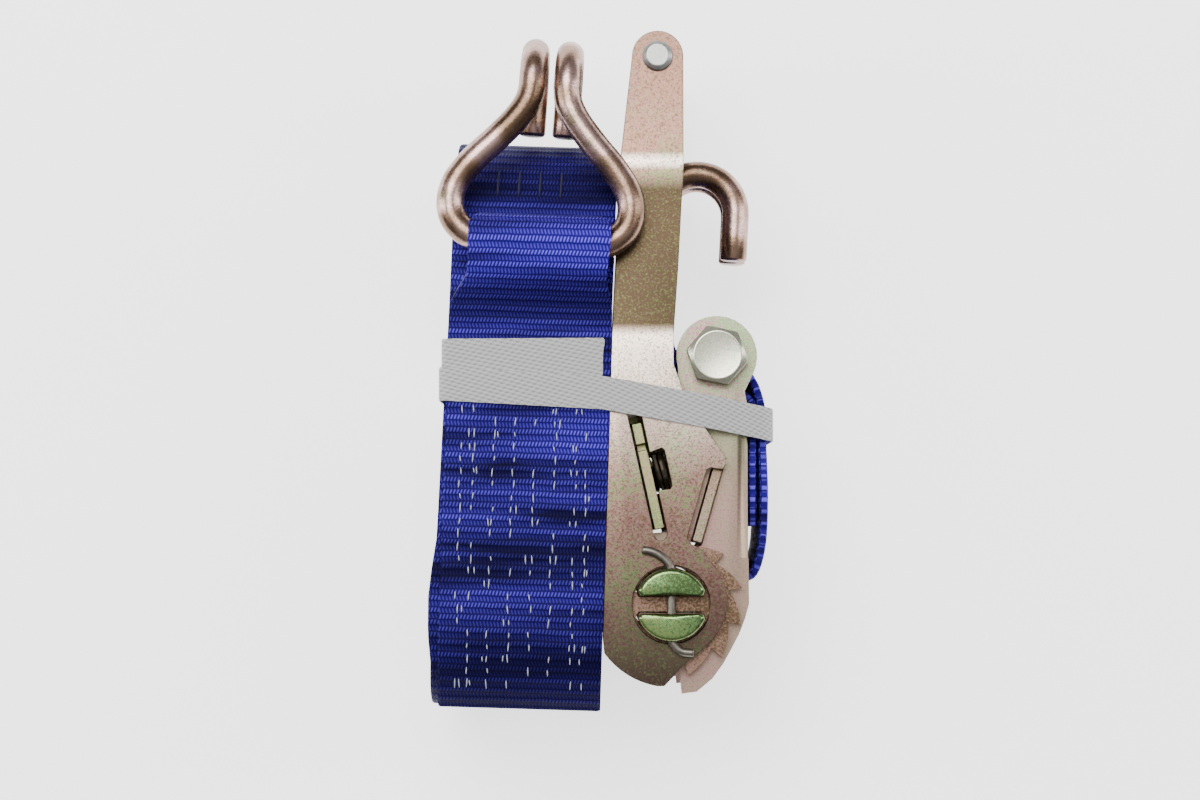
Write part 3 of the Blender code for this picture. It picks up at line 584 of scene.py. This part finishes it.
def make_hooks():
    """The short strap's hook, whose bar runs along Z, and the long strap's, whose bar runs along X."""
    down_x = Matrix.Rotation(SHORT_HOOK_TILT, 3, "Z") @ Matrix(((0, 0, 1), (0, 1, 0), (1, 0, 0)))
    down_z = Matrix.Rotation(LONG_HOOK_TILT, 3, "Z") @ Matrix(((1, 0, 0), (0, 1, 0), (0, 0, -1)))
    for node, body, bar, turn, tip in (
            ("short_strap_hook", "frame", SHORT_HOOK_BAR, down_x, SHORT_HOOK_TIP),
            ("long_strap_hook", "long_strap_hook", LONG_HOOK_BAR, down_z, LONG_HOOK_TIP)):
        half = hook_points(tip)
        whole = [(-u, v, w) for u, v, w in half[:0:-1]] + half
        points = [bar + turn @ Vector(p) for p in whole]
        made = tube(node + "_wire", points, WIRE_R, body, HOOK, 8, TIP_ROUND)
        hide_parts(node)


def make_pins_and_springs():
    bent = smooth_path([(-8.6, 16.6), (-6.0, 16.2), (-3.2, 14.8), (-0.9, 12.6), (0.0, 9.6), (0.0, 0.0),
                        (0.0, -9.8), (0.8, -12.2), (3.2, -14.2), (6.6, -14.6)], 6)
    for label, side in (("near", 1), ("far", -1)):
        points = [(x, y, MID_Z + side * 39.0) for x, y in bent]
        made = tube("cotter_pin_" + label + "_wire", points, 1.3, "mandrel", PIN, 4, 0.2)
        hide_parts("cotter_pin_" + label)
    for node in ("drive_pawl_spring_near", "drive_pawl_spring_far", "lock_pawl_spring"):
        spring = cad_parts[node]
        spring.data.materials.clear()
        spring.data.materials.append(SPRING)


# --- webbing --------------------------------------------------------------------------------------------
def roll_point(y, z, x=0.0):
    """A point given along and above the roll's own axes, in ratchet axes."""
    turned = Matrix.Rotation(ROLL_TILT, 3, "Z") @ Vector((x, y, z))
    return turned + ROLL_CENTRE


ROLL_ACROSS = Matrix.Rotation(ROLL_TILT, 3, "Z") @ Vector((1.0, 0.0, 0.0))


def roll_loop(inset):
    """Samples round the roll at one depth: its side profile is a rounded rectangle."""
    half, low, high = ROLL_LENGTH / 2 - inset, inset, ROLL_THICK - inset
    radius = max(ROLL_CORNER_R - inset * 0.8, 1.6)
    radius = min(radius, (high - low) / 2 - 0.05)
    made = []
    corners = [(1, high, 0), (-1, high, 90), (-1, low, 180), (1, low, 270)]
    for index, (side, level, start) in enumerate(corners):
        centre = (side * (half - radius), level - radius if level == high else level + radius)
        made += arc(centre, radius, start, start + 90, 10)
        if index in (0, 2):
            reach = half - radius
            for i in range(1, 14):
                y = side * reach * (1 - 2 * i / 14)
                made.append((y, level))
    return made


def make_roll():
    """The rolled strap. Its turns wander sideways, lean out at the foot, and are dented by the ratchet."""
    pitch, turns = 2.56, 14
    dent, dent_reach = 1.7, 16.0
    samples = len(roll_loop(5.0))
    path, shifts = [], []
    edge = [random.uniform(-0.7, 0.7) for _ in range(turns + 2)]
    for turn in range(turns):
        for index in range(samples):
            share = index / samples
            inset = STRAP_THICK / 2 + 0.05 + pitch * (turn + share)
            y, z = roll_loop(inset)[index]
            drift = edge[turn] * (1 - share) + edge[turn + 1] * share
            lean = -2.2 * max(0.0, min(1.0, (30.0 - y) / 110.0)) * math.exp(-turn / 3.0)
            close = 0.5 + 0.7 * max(0.0, min(1.0, (y - 20.0) / 60.0))
            point = roll_point(y, z)
            pressed = max(0.0, 1 - abs(point.y) / dent_reach)
            path.append(point)
            shifts.append(drift * 0.5 - 0.3 + lean + close - dent * pressed ** 0.5)
    made = ribbon("long_strap_turns", path, ROLL_ACROSS, "strap_bundle", BLUE, [STRAP_WIDTH / 2] * len(path),
                  STRAP_THICK, shifts)
    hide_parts("long_strap_roll")


def make_eye_strap():
    """The sewn end: up over the roll's lower corner, to the hook's bar, round it and back down on top.

    Gives what the stitches need: the top's height, and the lower corner's centre and outer radius."""
    bar_y = LONG_HOOK_BAR.y - ROLL_CENTRE.y
    bar_z = LONG_HOOK_BAR.z
    corner_y = -ROLL_LENGTH / 2 + ROLL_CORNER_R
    corner_z = ROLL_THICK - ROLL_CORNER_R
    air = 0.3
    lower_r = ROLL_CORNER_R + air + STRAP_THICK / 2
    upper_r = lower_r + STRAP_THICK + air
    lower_z, upper_z = corner_z + lower_r, corner_z + upper_r
    lower = arc((corner_y, corner_z), lower_r, 138.0, 90.0, 10)
    lower += [(corner_y + (bar_y - 22 - corner_y) * i / 12, lower_z) for i in range(1, 12)]
    lower += [(bar_y - 22.0, lower_z), (bar_y - 12.0, lower_z), (bar_y - 4.0, lower_z)]
    loop = arc((bar_y, bar_z), LOOP_R, -90.0, 105.0, 26)
    upper = smooth_path([(bar_y - 9.0, bar_z + 4.4), (bar_y - 17.0, bar_z - 1.6),
                         (bar_y - 25.0, upper_z + 0.1), (bar_y - 34.0, upper_z)], 5)
    upper += [(bar_y - 34 - (bar_y - 34 - corner_y) * i / 14, upper_z) for i in range(1, 14)]
    upper += arc((corner_y, corner_z), upper_r, 90.0, 141.0, 12)
    flat = lower + loop + upper
    shares = [min(max((y - bar_y + 22.0) / 18.0, 0.0), 1.0) for y, _ in flat]
    eased = [s * s * (3 - 2 * s) for s in shares]
    halves = [STRAP_WIDTH / 2 - (STRAP_WIDTH / 2 - LOOP_HALF_WIDTH) * s for s in eased]
    for i, (y, z) in enumerate(flat):
        if z > bar_z:
            over = min((z - bar_z) / 5.5, 1.0)
            halves[i] += max(TOP_HALF_WIDTH - halves[i], 0.0) * over ** 1.5
    path = [roll_point(y, z) for y, z in flat]
    made = ribbon("long_strap_end", path, ROLL_ACROSS, "strap_bundle", BLUE, halves, STRAP_THICK,
                  [EYE_SHIFT * s + END_SHIFT for s in eased])
    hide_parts("long_strap_eye")
    return upper_z + STRAP_THICK / 2, corner_y, corner_z, upper_r + STRAP_THICK / 2


def make_short_strap():
    """From inside the frame, round the bolt's sleeve and the back wall, to the hook and round its bar."""
    sleeve_r, air = 8.0, 0.4
    wrap = sleeve_r + air + STRAP_THICK / 2
    inner_leg = smooth_path([(25.6, 24.0), (25.6, 44.0), (25.7, 60.0), (23.4, 64.4), (16.6, 66.4)], 5)
    loop = arc(EYE, wrap, 240.0, -20.0, 26)
    outer_leg = smooth_path([(26.6, 67.5), (28.4, 61.0), (28.8, 50.0), (29.3, 34.0), (28.7, 19.0),
                             (26.0, 9.5), (21.5, 8.6), (18.9, 15.0), (18.7, 36.0), (18.0, 55.0),
                             (12.0, 61.2), (4.0, 65.4), (0.6, 68.0)], 5)
    bar = arc(SHORT_HOOK_BAR.xy, LOOP_R, -80.0, -322.0, 24) + [(1.7, 76.6), (1.6, 73.0)]
    body = inner_leg + loop + outer_leg
    path = [(x, y, MID_Z) for x, y in body + bar]
    halves = []
    for i in range(len(path)):
        share = min(max((i - len(body) + 9) / 10.0, 0.0), 1.0)
        halves.append(STRAP_WIDTH / 2 - (STRAP_WIDTH / 2 - LOOP_HALF_WIDTH) * share)
    made = ribbon("short_strap_webbing", path, (0, 0, 1), "frame", BLUE, halves)
    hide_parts("short_strap")


def make_band():
    """A loop round the roll and the ratchet, sloping over the ratchet, and a turn over the roll above it."""
    left, right, bottom = -70.9, 31.9, 0.7
    corners = [(left, 4.0), (left, 78.0), (left + 0.4, 81.0), (left + 2.2, 82.1), (-56.0, 82.2),
               (-38.0, 82.25), (-21.0, 82.1), (-6.0, 81.7), (9.5, 81.2), (14.0, 79.9),
               (right - 3.4, 71.4), (right - 0.5, 68.6), (right, 66.0), (right, 20.0),
               (right - 0.5, 17.3), (11.0, 4.6), (-20.0, bottom), (left + 2.0, bottom),
               (left + 0.4, 1.5)]
    kink = -20.5                  # it bends here, between the roll and the ratchet
    path = []
    for x, z in corners:
        centre_y = 64.6 - 0.178 * max(x - kink, 0.0) + 0.055 * max(kink - x, 0.0)
        path.append((x, centre_y, z))
    halves = [BAND_WIDTH / 2] * len(path)
    made = ribbon("packing_band_cloth", path, (0, 1, 0), "frame", BAND, halves, 0.6, closed=True)
    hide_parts("packing_band")
    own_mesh(made)

    inner = [(-70.2, 8.0), (-70.2, 77.0), (-70.0, 80.2), (-68.6, 81.45), (-55.0, 81.5), (-38.0, 81.6),
             (-23.0, 81.55), (-19.9, 81.0), (-19.3, 79.0), (-19.2, 66.0)]
    path = [(x, 75.4 + 0.006 * (x + 45.0), z) for x, z in inner]
    halves = [TURN_WIDTH / 2] * len(path)
    turn = ribbon("packing_band_turn", path, (0, 1, 0), "strap_bundle", BAND, halves, 0.5)


def make_stitches(surface_z, corner_y, corner_z, corner_r):
    """Columns of short white threads through the strap's doubled end, and a few dark ones above the hook."""
    missing = 0.24
    white = []
    for column in (-19.2, -15.6, -9.4, -3.2, 3.2, 9.4, 16.0, 19.2):
        for step in range(24):
            if random.random() < missing:
                continue
            y = 7.5 - step * RIB + random.uniform(-0.3, 0.3)
            for twin in range(1 if random.random() < 0.8 else 2):
                x = column + random.uniform(-0.45, 0.45) + twin * random.choice((-1.3, 1.3))
                lean = random.uniform(-0.16, 0.16)
                size = random.uniform(0.7, 1.5)
                white.append(((x - lean, y - size), (x + lean, y + size)))
    dark = [((x, 70.0), (x + 0.2, 78.5)) for x in (-11.0, -4.5, 2.0, 8.5)]

    def lift(point, on_top):
        """A point of the sewn end's top, or of the roll's own top."""
        x, y = point
        if not on_top:
            start = ROLL_LENGTH / 2 - ROLL_CORNER_R
            past = max(y - start, 0.0)
            height = ROLL_THICK - ROLL_CORNER_R + math.sqrt(ROLL_CORNER_R ** 2 - past ** 2)
            return roll_point(y, height + 0.05, x)
        if y < corner_y:
            reach = math.sqrt(max(corner_r ** 2 - (y - corner_y) ** 2, 0.0))
            return roll_point(y, corner_z + reach + 0.02, x)
        return roll_point(y, surface_z + 0.02, x)

    for name, pairs, on_top, radius, material in (
            ("white_stitching", white, True, 0.19, WHITE_THREAD),
            ("dark_stitching", dark, False, 0.35, DARK_THREAD)):
        mesh = bmesh.new()
        for a, b in pairs:
            start, end = lift(a, on_top), lift(b, on_top)
            middle = (start + end) / 2 + Vector((0, 0, 0.16))
            run = (end - start).normalized()
            side = run.cross(Vector((0, 0, 1))).normalized()
            up = side.cross(run).normalized()
            rings = []
            for point, size in ((start, 0.45), (start.lerp(middle, 0.5), 0.9), (middle, 1.0),
                                (middle.lerp(end, 0.5), 0.9), (end, 0.45)):
                ring = []
                for k in range(6):
                    angle = math.pi * k / 3
                    offset = (side * math.cos(angle) + up * math.sin(angle)) * radius * size
                    ring.append(mesh.verts.new(row(point + offset)))
                rings.append(ring)
            skin(mesh, rings)
        show(finish_mesh(mesh, name), name, "strap_bundle", material)


# --- floor, lights and camera ---------------------------------------------------------------------------
def make_stage():
    mesh = bmesh.new()
    below = Matrix.Translation((0, 0, -0.0003))
    bmesh.ops.create_grid(mesh, x_segments=1, y_segments=1, size=3.0, matrix=below)
    data = bpy.data.meshes.new("floor")
    mesh.to_mesh(data)
    mesh.free()
    nodes = Nodes("floor_paint")
    tone = nodes.ramp(nodes.noise(6.0, 2.0), [(0.0, (0.90, 0.90, 0.90)), (1.0, (0.94, 0.94, 0.94))])
    nodes.finish(tone, 0.9)
    nodes.shader.inputs["Emission Color"].default_value = (1.0, 1.0, 1.0, 1.0)
    nodes.shader.inputs["Emission Strength"].default_value = 1.8
    data.materials.append(nodes.material)
    floor = bpy.data.objects.new("floor", data)
    bpy.context.scene.collection.objects.link(floor)

    world = bpy.data.worlds.new("studio")
    bpy.context.scene.world = world
    world.use_nodes = True
    tree = world.node_tree
    where = tree.nodes.new("ShaderNodeTexCoord")
    split = tree.nodes.new("ShaderNodeSeparateXYZ")
    ramp = tree.nodes.new("ShaderNodeValToRGB")
    tree.links.new(where.outputs["Generated"], split.inputs[0])
    tree.links.new(split.outputs[2], ramp.inputs[0])
    tree.links.new(ramp.outputs[0], tree.nodes["Background"].inputs[0])
    stops = [(0.0, (0.30, 0.30, 0.30, 1.0)), (0.40, (0.10, 0.10, 0.11, 1.0)),
             (0.80, (0.55, 0.55, 0.57, 1.0)), (1.0, (1.0, 1.0, 1.0, 1.0))]
    while len(ramp.color_ramp.elements) < len(stops):
        ramp.color_ramp.elements.new(0.5)
    for element, (place, colour) in zip(ramp.color_ramp.elements, stops):
        element.position = place
        element.color = colour
    tree.nodes["Background"].inputs[1].default_value = 0.85

    def area(name, place, target, size, power):
        light = bpy.data.lights.new(name, "AREA")
        light.shape = "RECTANGLE"
        light.size, light.size_y = size
        light.energy = power
        made = bpy.data.objects.new(name, light)
        made.location = place
        made.rotation_euler = (Vector(target) - Vector(place)).to_track_quat("-Z", "Y").to_euler()
        bpy.context.scene.collection.objects.link(made)

    area("key", (-0.25, 0.55, 1.3), (0, 0, 0.04), (0.9, 0.9), 24.0)
    area("left_strip", (-1.1, 0.1, 0.5), (0, 0, 0.05), (0.25, 1.2), 7.0)
    area("right_strip", (1.0, 0.2, 0.6), (0, 0, 0.05), (0.25, 1.2), 6.0)

    camera_data = bpy.data.cameras.new("camera")
    camera_data.lens = LENS
    camera_data.sensor_width = 36.0
    camera_data.clip_start = 0.01
    camera = bpy.data.objects.new("camera", camera_data)
    target = row((-21.7, 62.4, 81.0))
    away = Vector((0.0, -math.cos(CAMERA_TILT), math.sin(CAMERA_TILT)))
    camera.location = target + away * CAMERA_FAR * 0.001
    camera.rotation_euler = (target - camera.location).to_track_quat("-Z", "Y").to_euler()
    bpy.context.scene.collection.objects.link(camera)
    bpy.context.scene.camera = camera


make_stage()
make_metal()
make_mandrel()
make_hooks()
make_pins_and_springs()
make_roll()
make_stitches(*make_eye_strap())
make_short_strap()
make_band()
